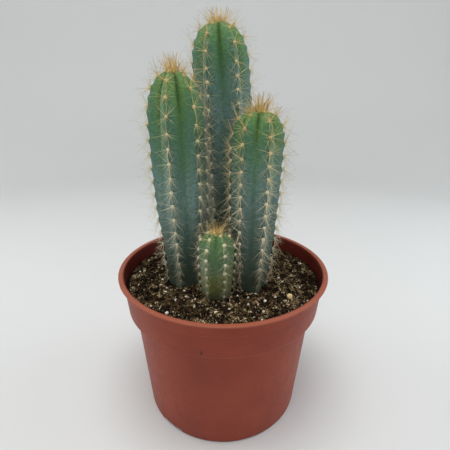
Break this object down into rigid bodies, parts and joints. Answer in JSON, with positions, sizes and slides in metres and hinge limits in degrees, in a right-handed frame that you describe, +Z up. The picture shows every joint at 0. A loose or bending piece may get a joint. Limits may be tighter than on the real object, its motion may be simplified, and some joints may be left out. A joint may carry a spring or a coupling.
{
  "type": "potted columnar cactus",
  "caption": "Potted blue torch cactus: upright ribbed blue-green columns with straw-coloured spines, in potting mix in a round plastic nursery pot.",
  "frame": {"origin": "centre of the pot's foot, on the surface that it stands on", "axes": "+Z up along the pot's axis; the front of the plant, with the small column, faces -Y; +X is to its right"},
  "size_m": [0.17, 0.17, 0.3176],
  "materials": {
    "pot_plastic": "satin",
    "potting_mix": "matte",
    "cactus_skin": "satin",
    "young_cactus_skin": "satin",
    "spines": "satin",
    "areole_felt": "matte",
    "perlite": "matte"
  },
  "bodies": {
    "root": {"pot": "pot_plastic", "soil": "potting_mix", "column_left": "cactus_skin", "column_tall": "cactus_skin", "column_right": "cactus_skin", "column_small": "young_cactus_skin"}
  },
  "joints": []
}
